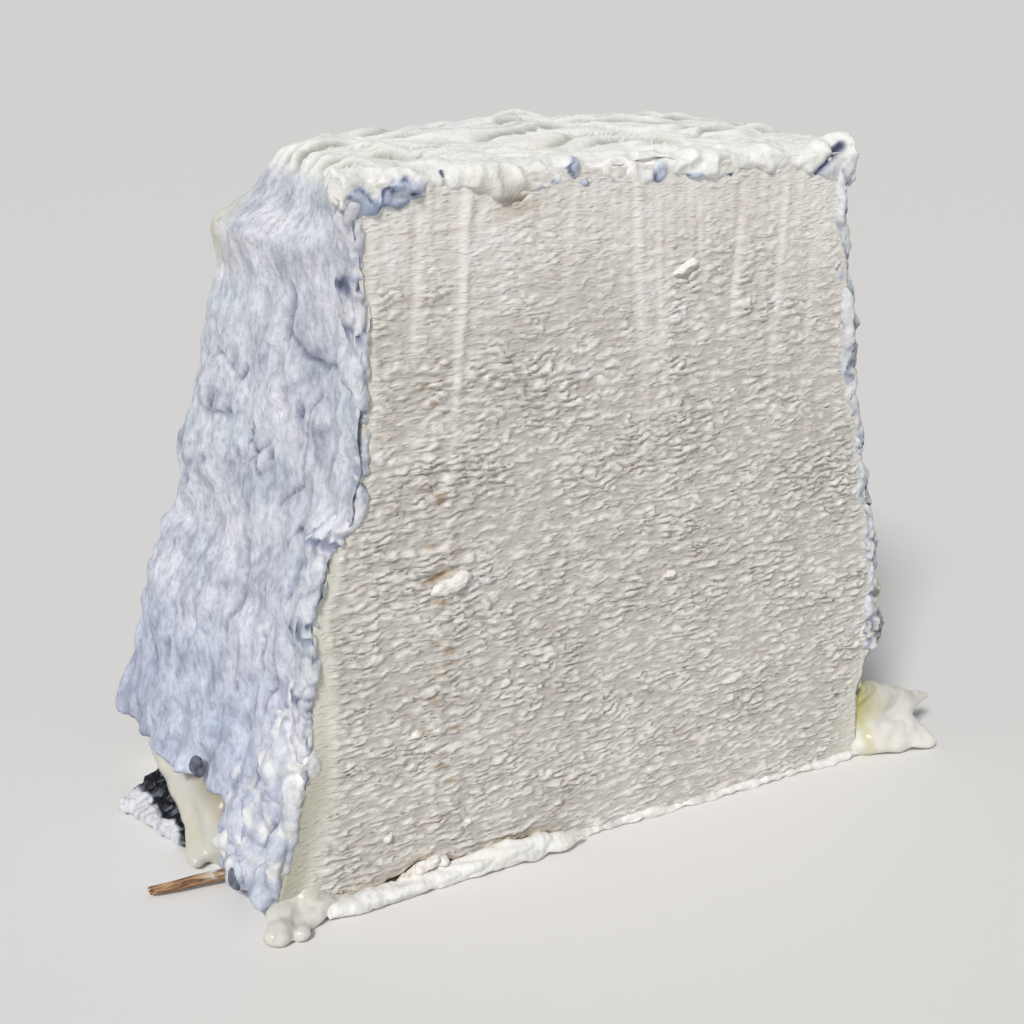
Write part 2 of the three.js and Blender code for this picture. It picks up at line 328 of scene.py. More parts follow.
def make_paste():
    bm = bmesh.new()
    upright = Matrix.Translation((0, 0, 0.5)) @ Matrix.Rotation(math.pi / 2, 4, "X")
    bmesh.ops.create_grid(bm, x_segments=PASTE_CELLS[0], y_segments=PASTE_CELLS[1], size=1,
                          matrix=upright @ Matrix.Diagonal((1, 0.5, 1, 1)))
    rim = [e for e in bm.edges if e.is_boundary]
    for _ in range(3):
        rim = pull(bm, rim, (0, 1 / 3, 0))
    bmesh.ops.edgeloop_fill(bm, edges=rim)
    unit = places_of(bm)
    back = np.clip(unit[:, 1], 0, 1)
    high = np.clip(unit[:, 2], 0, 1)
    places, _ = block_surface(unit[:, 0], 0.02 * back, high, inset=lerp(FRONT_SKIN, BACK_SKIN, back))
    places[:, 1] = CUT_Y + SLAB * back
    left, right = side_edges(0 * back, places[:, 2])
    height, cream, low, tan = cut_relief(places, places[:, 0] - left, right - places[:, 0])
    crack_top = np.interp(places[:, 0], *columns(CRACK), left=-1, right=-1)
    crack_top += 0.3 * waves(places, (0.9, 1, 9), 64)
    under = ease(crack_top - places[:, 2], 0, 0.4)
    brim = spot(places[:, 2] - crack_top, 0.2, 0.45) * (crack_top > 0.3)
    by_lobe = (1 - ease(places[:, 0] - left, 0.8, 4.6)) * (1 - ease(places[:, 2], 9, 22))
    front = back < 0.01
    places[front, 1] += (0.6 * under - height)[front]
    put_places(bm, places)
    # Painted olive-grey shade in the crack and beside the lobe's foot. The crack's brim is tan, partly real
    # and partly painted shade at the crack's edge.
    fields(bm, cream=0.8 * cream, low=low, tan=tan + 0.4 * brim, shade=0.9 * under + 0.5 * by_lobe)
    bmesh.ops.recalc_face_normals(bm, faces=bm.faces)
    return piece_from(bm, "paste", curd)


paste = make_paste()
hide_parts("cheese")


# Rind
# A skin of white and blue-grey mould over wood ash, about a millimetre thick, wrinkled where the cheese
# has dried and shrunk. It grew on the sides, the back and the top, and has torn off the foot on the left.

# It has this many cells across, deep and high. At the cut its rim is set in by RIND_THICK and goes
# CUT_RECESS behind the face.
RIND_CELLS = (160, 112, 190)
RIND_THICK = 0.8
CUT_RECESS = 4
# The tear of the foot: from and to how far behind the cut, how high, and how far in at its two ends.
TEAR_FRONT, TEAR_BACK, TEAR_TOP, TEAR_SHALLOW, TEAR_DEEP = 12, 30, 6.9, 2.6, 5.4

# Slits and pits in the left side: places behind the cut and up, half lengths, half widths, lean in degrees.
PITS = [(17.9, 48.3, 0.9, 0.34, 16), (15.4, 43.0, 1.3, 0.2, 16), (18.0, 35.4, 1.3, 0.18, 8),
        (12.2, 41.8, 0.5, 0.3, 0), (9.1, 29.8, 0.35, 0.3, 0), (3.7, 30.8, 1.2, 0.3, 80),
        (11, 54.8, 2.6, 0.2, 2), (8.6, 24, 1.8, 0.17, -8), (9.4, 19, 1.5, 0.2, -8),
        (14.4, 41.2, 2.2, 0.16, -40), (12.6, 18.8, 0.6, 0.2, -8), (8.6, 46.4, 0.7, 0.32, 20),
        (6, 36.5, 0.8, 0.4, 70), (23.8, 57.8, 0.5, 0.25, 40)]

# Shallow grey-lilac hollows, where the bloom is thin: places behind the cut and up, and half sizes.
HOLLOWS = [(8.0, 52.0, 2.2, 1.2), (8.4, 46.4, 1.5, 3.0), (5.5, 49.5, 1.8, 2.4), (1.8, 59.2, 1.2, 1.0),
           (2.0, 55.2, 1.1, 1.1), (9.5, 38.5, 2.4, 1.6), (4.3, 43.4, 1.4, 2.2), (17.5, 38.0, 2.2, 1.2),
           (20.5, 33.8, 2.2, 1.4), (13, 43, 1.6, 1.2)]

# Creases where the rind has folded: half widths, and places behind the cut and up.
CREASES = [(0.28, [(11.4, 57.8), (11.0, 53.6), (8.6, 51.6), (5.8, 51.3), (3.0, 52.4)]),
           (0.16, [(13.1, 42.9), (15.7, 39.6)]),
           (0.2, [(25.5, 44.1), (22.5, 43.5), (19.1, 44.5)]),
           (0.22, [(6.2, 48.9), (7.6, 44.5), (7.9, 40.2), (10.2, 37.6)]),
           (0.2, [(23.8, 49.6), (20.6, 49.2), (19.2, 47.8)]),
           (0.2, [(17.4, 41.2), (17.0, 38.2)]),
           (0.26, [(2.2, 38.5), (4.6, 34.8), (5.0, 30.5)]),
           (0.24, [(13.6, 33.2), (13.0, 28.4), (14.4, 24.0)]),
           (0.22, [(7.0, 27.5), (6.4, 22.4), (8.0, 18.2)]),
           (0.2, [(20.0, 27.6), (18.6, 22.5)])]

# The yellowed shoulder at the upper left of the back, and the blue patch on the top.
YELLOWED = (-29.5, 9, 61.5)
BLUE_PATCH = (-9, 2, 69)


# Mould grown over wood ash: a matt, faintly furry bloom. It is white with a blue cast where it is thick,
# grey where the ash shows through, ivory where it has been handled, and black where only wet ash is left.
# Painted grey-green shade lies in the creases of the top, and painted navy and lilac shade lies at the edges
# of the lip's ash lumps and along its lower edge.
def make_rind_material():
    material = new_material("ash_rind")
    mm = in_mm(material)
    hanging = in_mm(material, stretch=(1, 1, 1.5))
    cloud, tuft, speck, fuzz = [
        add(material, "ShaderNodeTexNoise",
            {"Vector": at, "Scale": scale, "Detail": detail, "Roughness": rough}).outputs["Fac"]
        for at, scale, detail, rough in ((mm, 0.14, 5, 0.5), (hanging, 0.5, 4, 0.5),
                                         (hanging, 1.7, 7, 0.65), (mm, 3.5, 6, 0.6))]
    ash, black = [add(material, "ShaderNodeAttribute", {}, attribute_name=name).outputs["Fac"]
                  for name in ("ash", "black")]
    bloom, thin, fleck, ivory, ashy = [
        add(material, "ShaderNodeValToRGB", {"Fac": pattern}, stops=stops).outputs["Color"]
        for pattern, stops in (
            (cloud, [(0.34, "#D6DEE6"), (0.5, "#E5E7F0"), (0.66, "#F4F4F9")]),
            (tuft, [(0.34, "#B4B6C0"), (0.48, "#EAEBEE"), (0.6, "#FFFFFF")]),
            (speck, [(0.34, "#ABADB7"), (0.46, "#DEE0E4"), (0.58, "#FFFFFF")]),
            (speck, [(0.3, "#EDECE5"), (0.5, "#FAF9F5"), (0.7, "#FFFEFB")]),
            (ash, [(0, "#FFFFFF"), (0.3, "#DBDCE2"), (0.6, "#A3A5B2"), (0.85, "#656879"), (1, "#3A3D4B")]))]
    colour = coats(material, bloom, [
        (0.55, thin, "MULTIPLY"), (0.55, fleck, "MULTIPLY"), ("top", ivory, "MIX"),
        ("cream", "#D8D4B0", "MIX"), (1.0, ashy, "MULTIPLY"), ("blue", "#C6D4EE", "MULTIPLY"),
        ("tan", "#C4A070", "MULTIPLY"), ("moss", "#9C9F97", "MULTIPLY"), (black, "#14161D", "MIX")])
    bump = add(material, "ShaderNodeBump", {"Height": fuzz, "Strength": 0.45, "Distance": 0.0003})
    rough = add(material, "ShaderNodeMapRange", {"Value": black, "To Min": 0.72, "To Max": 0.22})
    surface = add(material, "ShaderNodeBsdfPrincipled", {
        "Base Color": colour,
        "Roughness": rough.outputs["Result"],
        "Specular IOR Level": 0.3,
        "Normal": bump.outputs["Normal"],
    })
    add(material, "ShaderNodeOutputMaterial", {"Surface": surface.outputs["BSDF"]})
    return material


ash_rind = make_rind_material()


def tear_depth(deep, z):
    """How far the torn foot stands back from the rind above it."""
    at = np.stack([deep, 0 * deep, 0 * deep], -1)
    edge = TEAR_TOP + 0.7 * waves(at, (2.6, 1, 1), 1) + 0.35 * waves(at, (0.9, 1, 1), 12)
    below = 1 - ease(z - edge, -0.35, 0.35)
    behind = ease(deep - 0.5 * waves(np.stack([z, 0 * z, 0 * z], -1), (1.5, 1, 1), 13),
                  TEAR_FRONT - 0.5, TEAR_FRONT + 0.5)
    return below * behind * lerp(TEAR_SHALLOW, TEAR_DEEP, ease(deep, TEAR_FRONT, TEAR_BACK))


def line_gap(places, points):
    """How far each place, given by two coordinates, is from a line through points."""
    nearest = np.full(len(places), np.inf)
    for start, end in zip(points, points[1:]):
        way = np.array(end, float) - start
        from_start = places - start
        share = np.clip(from_start @ way / (way @ way), 0, 1)
        nearest = np.minimum(nearest, np.linalg.norm(from_start - share[:, None] * way, axis=1))
    return nearest


def rind_relief(places, out):
    """How far the rind stands out, how ashy and ivory it is, and how much painted grey-green shade lies in
    the creases of its top.
    """
    leaning = places + places[:, 2:] * (0, 0.22, 0)
    behind = places[:, 1] - CUT_Y
    top = ease(out[:, 2], 0.35, 0.9)
    near_cut = 1 - ease(behind, 4, 13)
    swells = waves(leaning, (7, 6, 13), 35)
    folds = abs(waves(leaning, (4.6, 4.2, 12), 21))
    wrinkles = abs(waves(leaning, (2.2, 2.1, 5.5), 22))
    ripples = abs(waves(places, (1.0, 1.0, 1.6), 23))
    lumps = waves(places, (3.6, 3.2, 4.2), 32)
    rough = ease(waves(places, (5, 5, 6), 36), -0.1, 0.4)
    pits = ease(waves(leaning, (1.6, 1.2, 2.6), 26), 0.5, 0.66)
    knolls = waves(leaning, (2.6, 2.5, 3.6), 37)
    brushed = waves(leaning, (0.8, 0.7, 2.2), 38)
    high = ease(places[:, 2], 46, 58)
    side = (0.6 * swells + 0.5 * folds + 0.55 * knolls) * (1 - 0.55 * high)
    side += (0.5 * wrinkles + 0.26 * ripples) * (0.35 + rough) * (1 - 0.5 * high)
    side += near_cut * 0.6 * lumps - 0.35 * pits + 0.1 * brushed - 0.3
    steps = 1.5 * waves(places, (9, 5, 6), 24) + 0.32 * behind + 0.02 * places[:, 0]
    layer = steps % 1
    flakes = abs(waves(places, (4.2, 1.5, 1.5), 25))
    strong = ease(waves(places, (9, 6, 6), 39), -0.35, 0.25)
    crown = (0.3 + 0.8 * strong) * ease(layer, 0, 0.24) * (1 - 0.9 * layer)
    crown += 0.7 * flakes + 0.08 * ripples - 0.4
    creases = 1 - ease(folds, 0, 0.07)
    small = 1 - ease(wrinkles, 0, 0.08)
    hollow = near_cut * (1 - ease(lumps, -0.45, -0.05))
    patches = ease(waves(places, (6, 6, 7), 27), 0.0, 0.5)
    ash = 0.02 + 0.22 * creases + 0.18 * small * rough + 0.35 * pits + 0.12 * patches + 0.25 * hollow
    ash *= 1 - 0.8 * high
    # Painted grey-green shade at the foot of each step of the top's layers and in the creases between its
    # flakes.
    moss = 0.9 * spot(layer, 0.04, 0.09) * strong
    moss += 0.5 * (1 - ease(flakes, 0, 0.05)) * ease(waves(places, (6, 4, 4), 65), 0, 0.4)
    left = ease(-out[:, 0], 0.5, 0.9)
    side_view = np.stack([behind, places[:, 2]], -1)
    wobbled = side_view + 0.3 * waves(places, (1.4, 1.4, 1.4), 69)[:, None]
    for half_wide, points in CREASES:
        groove = left * spot(line_gap(wobbled, points), 0, half_wide)
        side = side - 0.45 * groove
        ash = np.maximum(ash, 0.55 * groove)
    for *middle, half_deep, half_high in HOLLOWS:
        thin = spot(side_view, middle, (half_deep, half_high))
        thin *= left * (0.7 + 0.8 * waves(leaning, (1, 1, 2), 66))
        side = side - 0.35 * thin
        ash = ash + 0.22 * thin
    for pit_deep, pit_z, half_long, half_wide, lean in PITS:
        angle = math.radians(lean)
        y, z = behind - pit_deep, places[:, 2] - pit_z
        across = y * math.cos(angle) + z * math.sin(angle) + 0.25 * np.sin(1.4 * z)
        along = z * math.cos(angle) - y * math.sin(angle)
        gap = np.hypot(across / half_wide, np.maximum(abs(along) - half_long + half_wide, 0) / half_wide)
        dent = left * (1 - ease(gap, 0.4, 1.5))
        side = side - 0.5 * dent
        ash = np.maximum(ash, 0.74 * dent)
    return lerp(side, crown, top), lerp(ash, 0.02, top), top, moss * top


def make_rind():
    bm = bmesh.new()
    bmesh.ops.create_cube(bm, size=1)
    for axis, cells in enumerate(RIND_CELLS):
        along = [e for e in bm.edges if abs((e.verts[0].co - e.verts[1].co)[axis]) > 0.5]
        bmesh.ops.subdivide_edges(bm, edges=along, cuts=cells - 1, use_grid_fill=True)
    bm.normal_update()
    for axis in (2, 1):
        plain = [f for f in bm.faces if f.normal[axis] < -0.5]
        bmesh.ops.delete(bm, geom=plain, context="FACES")
        rim = [e for e in bm.edges if e.is_boundary]
        if axis == 1:
            rim = pull(bm, rim, (0, -1, 0))
        bmesh.ops.edgeloop_fill(bm, edges=rim)
    unit = places_of(bm)
    recess = unit[:, 1] < -0.7
    across, high = 2 * unit[:, 0], unit[:, 2] + 0.5
    deep = np.where(recess, 0, unit[:, 1] + 0.5) ** 1.1
    z = high * HEIGHT
    depth = lerp(BASE_DEPTH, TOP_DEPTH, high) + outline(BACK_BULGE, z)
    places, out = block_surface(across, deep, high, RIND_THICK * recess, tear_depth(deep * depth, z))
    height, ash, top, moss = rind_relief(places, out)
    front = 1 - ease(places[:, 1] - CUT_Y, 0, 1.8)
    lumps = waves(places, (1.5, 1.5, 1.5), 28)
    fine = waves(places, (0.7, 0.7, 0.7), 29)
    under_lip = top * (1 - ease(places[:, 1] - CUT_Y, 1.0, 3.2))
    height = height * lerp(0.25, 1, ease(places[:, 2], 0, 4))
    height += 0.4 * front * lumps * (1 - top) - 0.5 * under_lip
    height[recess] = 0
    places += out * height[:, None]
    crumbled = front * ease(places[:, 2], 11, 16) * (1 - top)
    places[:, 1] -= np.where(recess, 0, crumbled * (0.25 + 0.45 * lumps + 0.3 * fine))
    places[recess, 1] = CUT_Y + CUT_RECESS
    places[:, 2] = np.maximum(places[:, 2], np.where(recess, 0.6, 0.02))
    put_places(bm, places)
    shoulder = spot(places, YELLOWED, (3.5, 4, 3.5))
    stain_and_shade = ease(waves(places, (6, 5, 5), 34), 0.25, 0.6) * top
    bluish = spot(places, BLUE_PATCH, (3.2, 3.5, 3)) * ease(waves(places, (2, 2, 2), 61), -0.2, 0.3)
    low_left = ease(-out[:, 0], 0.5, 0.9) * (1 - ease(places[:, 2], 14, 36))
    bare = ease(out[:, 0], 0.3, 0.8) * (1 - ease(places[:, 2], 10, 14))
    bare *= 1 - ease(places[:, 1] - CUT_Y, 2, 7)
    fields(bm, ash=ash * (1 - bare), top=np.maximum(top, 0.7 * bare), moss=moss,
           cream=0.8 * shoulder + 0.1 * stain_and_shade + 0.7 * bare, blue=0.7 * bluish + 0.45 * low_left)
    bmesh.ops.recalc_face_normals(bm, faces=bm.faces)
    return piece_from(bm, "rind", ash_rind)


rind = make_rind()


# Broken rind edge
# Where the knife went through the rind it crumbled and rolled it: a thick white lip along the top, and
# lumps of crust down both sides, with blue ash in the hollows between them.

# The lower edge of the lip: places across and up.
LIP_LOWER = [(-25.4, 65.4), (-23, 64.7), (-20.8, 65.2), (-18.1, 66.4), (-14.4, 66.6), (-11.6, 64.9),
             (-7.3, 65.6), (-4.3, 65.6), (-1.8, 66), (2.3, 65.3), (5.6, 66.4), (8.6, 66), (13, 66),
             (19.8, 66.1), (23.5, 64.6), (26, 64.3)]
# The left edge of the face, from the top down: heights and places across.
LEFT_EDGE = [(65, -24.1), (42, -24.4), (38.7, -25.6), (36.3, -28), (30.6, -30), (25, -30.2), (18.8, -31),
             (14, -31.2)]

# Blue lumps of ash in the lip: places across and up, half sizes, and how far they stand out.
ASH_LUMPS = [(-24.4, 66.7, 0.9, 0.7, 0.3), (-23.5, 65.7, 1.0, 0.8, 0.55), (-21.8, 66.4, 0.8, 1.0, 0.3),
             (-20.6, 67.2, 1.1, 0.8, 0.6), (-19.2, 66.9, 0.9, 0.8, 0.55), (-20.6, 65.8, 1.0, 0.6, 0.5),
             (-6.9, 66.5, 1.0, 0.5, 0.15), (-4.6, 67.9, 0.7, 0.6, 0.5), (-3.7, 66.6, 0.9, 0.7, 0.35),
             (4.3, 66.9, 0.7, 1.0, 0.3), (8.0, 66.3, 1.0, 0.5, 0.25), (12.8, 66.3, 1.1, 0.4, 0.15)]
# Grey hollows between the lumps of the upright edges: which side, height and half size.
EDGE_HOLLOWS = [(-1, 59.3, 0.9), (-1, 55.2, 0.9), (-1, 47.5, 1.4), (-1, 42, 1.1), (-1, 37, 0.9),
                (-1, 29, 1.3), (-1, 22, 0.8), (1, 16, 2.2), (1, 20, 1.2), (1, 26, 1.1), (1, 31, 1.5),
                (1, 38, 1.2), (1, 46, 1.0), (1, 57, 0.9)]
# The swelling low on the right edge, and in the lip the big blob, the drooping corner and the brown spot:
# their places.
SWELLING = 16.8
BIG_BLOB = (-12.3, 66.6)
DROOP = (22.2, 65.3)
BROWN_SPOT = (-9.6, 65.4)
# The dark seam of ash in the broken corner at the upper right, and the seam beside the big blob.
SEAMS = [((24.8, 68.4), (21.4, 65.9), 0.42), ((-16.9, 68.3), (-16.6, 65.8), 0.12)]


def wander(place, size, seed=0):
    """Smooth noise along a line, from about -1 to 1, whose waves have this length in mm."""
    return noise.noise(Vector((place / size, seed * 3.7, seed * 1.9)))


def dab(bm, centre, radii, turn=(0, 0, 0)):
    """A rounded lump, with its centre and its half sizes in mm and its turn in degrees."""
    turned = Euler([math.radians(angle) for angle in turn]).to_matrix().to_4x4()
    size = Matrix.Diagonal([radius * MM for radius in radii] + [1])
    bmesh.ops.create_icosphere(bm, subdivisions=2, radius=1,
                               matrix=Matrix.Translation(Vector(centre) * MM) @ turned @ size)


def fused(bm, voxel, rounds=2):
    """One closed skin round all the lumps, on a grid of this many mm, then smoothed."""
    mesh = bpy.data.meshes.new("lumps")
    bm.to_mesh(mesh)
    bm.free()
    holder = bpy.data.objects.new("lumps", mesh)
    bpy.context.scene.collection.objects.link(holder)
    skin = holder.modifiers.new("skin", "REMESH")
    skin.mode = "VOXEL"
    skin.voxel_size = voxel * MM
    ready = holder.evaluated_get(bpy.context.evaluated_depsgraph_get())
    one = bmesh.new()
    one.from_mesh(ready.to_mesh())
    bpy.data.objects.remove(holder)
    for _ in range(rounds):
        bmesh.ops.smooth_vert(one, verts=one.verts, factor=0.5,
                              use_axis_x=True, use_axis_y=True, use_axis_z=True)
    one.normal_update()
    return one


def unit_bar(sides, rings, inset):
    """A closed round bar along Z, one unit long, cut into rings, with a smaller face in each end."""
    bm = bmesh.new()
    bmesh.ops.create_cone(bm, cap_ends=True, segments=sides, radius1=1, radius2=1, depth=1)
    long_edges = [e for e in bm.edges if abs(e.verts[0].co.z - e.verts[1].co.z) > 0.5]
    bmesh.ops.subdivide_edges(bm, edges=long_edges, cuts=rings, use_grid_fill=True)
    for end in [f for f in bm.faces if abs(f.normal.z) > 0.9]:
        bmesh.ops.inset_region(bm, faces=[end], thickness=inset)
    return bm


def rod(stations, first_axis, second_axis, rings, sides, boxy):
    """A closed rod through stations. Each is a place and the half sizes along the two axes, in mm. At 2 its
    section is round, and above that it is boxier."""
    bm = unit_bar(sides, rings, inset=0.4)
    unit = places_of(bm)
    rows = np.array(stations, float)
    gone = np.append(0, np.cumsum(np.linalg.norm(np.diff(rows[:, :3], axis=0), axis=1)))
    at = [np.interp((unit[:, 2] + 0.5) * gone[-1], gone, column) for column in rows.T]
    turn = np.arctan2(unit[:, 1], unit[:, 0])
    reach = np.hypot(unit[:, 0], unit[:, 1])
    places = np.stack(at[:3], -1)
    for part, half, axis in ((np.cos(turn), at[3], first_axis), (np.sin(turn), at[4], second_axis)):
        places += (reach * half * np.sign(part) * abs(part) ** (2 / boxy))[:, None] * np.array(axis)
    put_places(bm, places)
    bmesh.ops.recalc_face_normals(bm, faces=bm.faces)
    bm.normal_update()
    return bm


def roughen(bm, parts, lumps=(), seed=40):
    """Moves the skin out and in. Each part is a size and how far it moves, in mm; creases part the lumps."""
    places = places_of(bm) / MM
    out = np.array([v.normal for v in bm.verts])
    for i, (size, amount) in enumerate(lumps):
        places += out * (amount * (3 * abs(waves(places, size, seed + 10 + i)) - 0.6))[:, None]
    for i, (size, amount) in enumerate(parts):
        places += out * (amount * waves(places, size, seed + i))[:, None]
    places[:, 2] = np.maximum(places[:, 2], 0.02)
    put_places(bm, places)
    bm.normal_update()
    return places


def make_lip():
    stations = []
    for x in np.arange(-25.8, 26.6, 0.35):
        lower = np.interp(x, *columns(LIP_LOWER)) + 0.5 * wander(x, 1.2, 1)
        upper = 68.7 + 0.2 * wander(x, 4, 2) + 0.4 * float(ease(x, 24, 26))
        y = CUT_Y + 1.7 + 0.25 * wander(x, 2.5, 3)
        stations.append((x, y, (upper + lower) / 2, 2.0, (upper - lower) / 2))
    bm = rod(stations, (0, 1, 0), (0, 0, 1), rings=260, sides=60, boxy=2.7)
    places = places_of(bm) / MM
    front = 1 - ease(places[:, 1] - CUT_Y, 0.2, 1.6)
    near = 0 * front
    brink = 0 * front
    face = places[:, (0, 2)]
    for *middle, half_wide, half_high, stand in ASH_LUMPS:
        bulge = spot(face, middle, (half_wide, half_high))
        near = np.maximum(near, ease(bulge, 0.12, 0.6) * front)
        brink = np.maximum(brink, spot(bulge, 0.42, 0.2) * front)
        places[:, 1] -= stand * ease(bulge, 0.15, 0.8) * front
    blob = np.exp(-(((face[:, 0] - BIG_BLOB[0]) / 3.6) ** 4) - ((face[:, 1] - BIG_BLOB[1]) / 1.5) ** 2)
    places[:, 1] -= front * (0.45 * blob + 0.6 * spot(face, DROOP, (1.4, 0.7)))
    dark = 0 * front
    for start, end, half in SEAMS:
        groove = front * spot(line_gap(face, [start, end]), 0, half)
        dark = np.maximum(dark, groove)
        places[:, 1] += 0.35 * groove
    put_places(bm, places)
    bm.normal_update()
    places = roughen(bm, [(4, 0.3), (0.45, 0.07)], lumps=[((2.8, 2, 1.8), 0.3), (1.3, 0.07)])
    gap = ease(waves(places, 1.0, 43), -0.1, 0.3)
    # Painted lilac-blue shade along the lower edge of the lip (low_front).
    low_front = front * (1 - ease(places[:, 2], 65.6, 67.2)) * ease(waves(places, (3, 2, 2), 67), -0.25, 0.3)
    thin = 0.1 * ease(waves(places, (2.5, 2, 1.2), 44), 0.1, 0.5) + 0.2 * low_front
    # Round each ash lump, brink lays painted navy shade, broken up by gap.
    ash = thin + near * (0.04 + 0.16 * ease(waves(places, 0.9, 45), -0.1, 0.4)) + 0.8 * brink * gap
    brown = spot(places[:, (0, 2)], BROWN_SPOT, (2.4, 0.8)) * front
    fields(bm, ash=np.maximum(ash, 0.95 * dark), top=1, cream=0.12 * blob, tan=0.8 * brown,
           blue=0.75 * near + 0.6 * brink * gap + 0.7 * dark + 0.45 * low_front, moss=0.2 * blob)
    return piece_from(bm, "rind_lip", ash_rind)


def make_upright_edge(name, side, bottom, top, half_wide, seed):
    """The crumbled edge of the rind up one side of the cut: -1 is the left side and 1 the right one."""
    stations = []
    for z in np.arange(bottom, top, 0.35):
        if side > 0:
            edge = side_edges(np.zeros(1), np.array([z]))[1][0]
        else:
            edge = np.interp(z, *columns(LEFT_EDGE[::-1]))
        half = half_wide * (1 + 0.6 * wander(z, 3.4, seed)) * float(ease(z, bottom - 1.4, bottom + 0.8))
        half *= 1 + 0.7 * spot(z, SWELLING, 2.4) * (side > 0)
        stations.append((edge - half + 0.45 + 0.3 * wander(z, 2.3, seed + 1),
                         CUT_Y + 1.6 + 0.4 * wander(z, 3.1, seed + 2), z, half, 1.85))
    bm = rod(stations, (1, 0, 0), (0, 1, 0), rings=280, sides=44, boxy=2.6)
    places = roughen(bm, [(3.4, 0.35), (1.5, 0.22), (0.42, 0.08)],
                     lumps=[((2.2, 2.2, 3.4), 0.2), ((1, 1, 1.5), 0.13)], seed=70 + seed)
    creases = 1 - ease(abs(waves(places, (2.2, 2.2, 3.4), 80 + seed)), 0.02, 0.16)
    middles, levels = np.array(stations)[:, (0, 2)].T
    right_half = ease(places[:, 0] - np.interp(places[:, 2], levels, middles), 0.1, 0.8)
    hollow = 0 * creases
    for which, z, half in EDGE_HOLLOWS:
        if which == side:
            hollow = np.maximum(hollow, spot(places[:, 2], z, half))
    hollow *= ease(waves(places, (0.9, 0.9, 0.9), 45), -0.15, 0.2)
    places[:, 1] += 0.45 * hollow
    put_places(bm, places)
    ripe = right_half * ease(waves(places, (2, 2, 4), 68), -0.3, 0.2) * (0.8 if side > 0 else 0.4)
    fields(bm, ash=0.02 + 0.3 * creases + 0.55 * hollow, top=0.4 if side > 0 else 0.15, cream=ripe,
           blue=0.5 * hollow)
    return piece_from(bm, name, ash_rind)


lip = make_lip()
left_edge = make_upright_edge("rind_edge_left", -1, 14, 67.6, 0.75, 6)
right_edge = make_upright_edge("rind_edge_right", 1, 13.5, 67.4, 0.95, 20)


# Near foot
# A thick lobe of white crust that has slid down over the near foot of the left side and hangs in a
# point, with a knob of crust under it and two grey pellets of ash stuck in the mould.
def along_route(bm, route, first, last, step, stray, seed):
    """Lumps in a row along a route, whose half sizes go from the first to the last and wander."""
    points = [Vector(p) for p in route]
    lengths = [(b - a).length for a, b in zip(points, points[1:])]
    total = sum(lengths)
    count = max(2, round(total / step))
    for i in range(count + 1):
        place = total * i / count
        left = place
        part = 0
        while part < len(lengths) - 1 and left > lengths[part]:
            left -= lengths[part]
            part += 1
        centre = points[part].lerp(points[part + 1], left / lengths[part])
        shift = Vector([stray * wander(place, 1.6, seed + axis) for axis in (1, 2, 3)])
        size = [lerp(a, b, place / total) * (1 + 0.3 * wander(place, 1.3, seed + axis))
                for axis, (a, b) in enumerate(zip(first, last))]
        dab(bm, centre + shift, size)


def behind_cut(*places):
    """Places given as across, depth behind the cut and height."""
    return [(x, CUT_Y + deep, z) for x, deep, z in places]


# Places across, behind the cut and up, and half sizes along the side and up.
PELLETS = [(-36.6, 4.6, 3.1, 0.75, 1.15), (-36.9, 15.4, 9.6, 0.8, 0.95)]

# The lobe's tongues: their routes across, behind the cut and up, their first and last half sizes, and the
# step, the stray and the seed of their lumps.
TONGUES = [
    ([(-31.6, 4.6, 17), (-33.0, 5.2, 12), (-34.2, 5.8, 8.4), (-35.0, 5.4, 5.4), (-35.5, 3.8, 3.2),
      (-35.6, 2.4, 1.9)], (1.3, 5.0, 3), (1.4, 1.3, 1.3), 0.5, 0.15, 20),
    ([(-31.2, 1.0, 18), (-31.4, 0.8, 14.5), (-32.6, 1.0, 11.5), (-33.9, 1.0, 8), (-34.7, 1.1, 5),
      (-35.2, 1.5, 2.6)], (0.8, 1.1, 1.2), (1.2, 1.4, 1.5), 0.5, 0.2, 24),
    ([(-34.4, 10.5, 9), (-35.6, 10.8, 5.5), (-36.4, 10, 3), (-36.6, 9.4, 1.8)],
     (1.4, 2.8, 2.4), (1.2, 1.8, 1.5), 0.5, 0.15, 28),
    ([(-34.4, 8, 8.4), (-35.5, 8, 5), (-36, 7.6, 2.6)], (1.2, 1.8, 2.2), (1.2, 1.4, 1.4), 0.5, 0.15, 26),
    ([(-36.4, 10.5, 3.6), (-37.2, 12.4, 2.6), (-38.2, 13.4, 1.6)],
     (1.1, 1.3, 1.3), (0.8, 0.9, 0.9), 0.5, 0.2, 30),
    ([(-35.4, 5.6, 1.3), (-35.8, 4.8, 1.2)], (1.2, 1.2, 1.1), (1.1, 1.0, 1.0), 0.6, 0.15, 32),
]


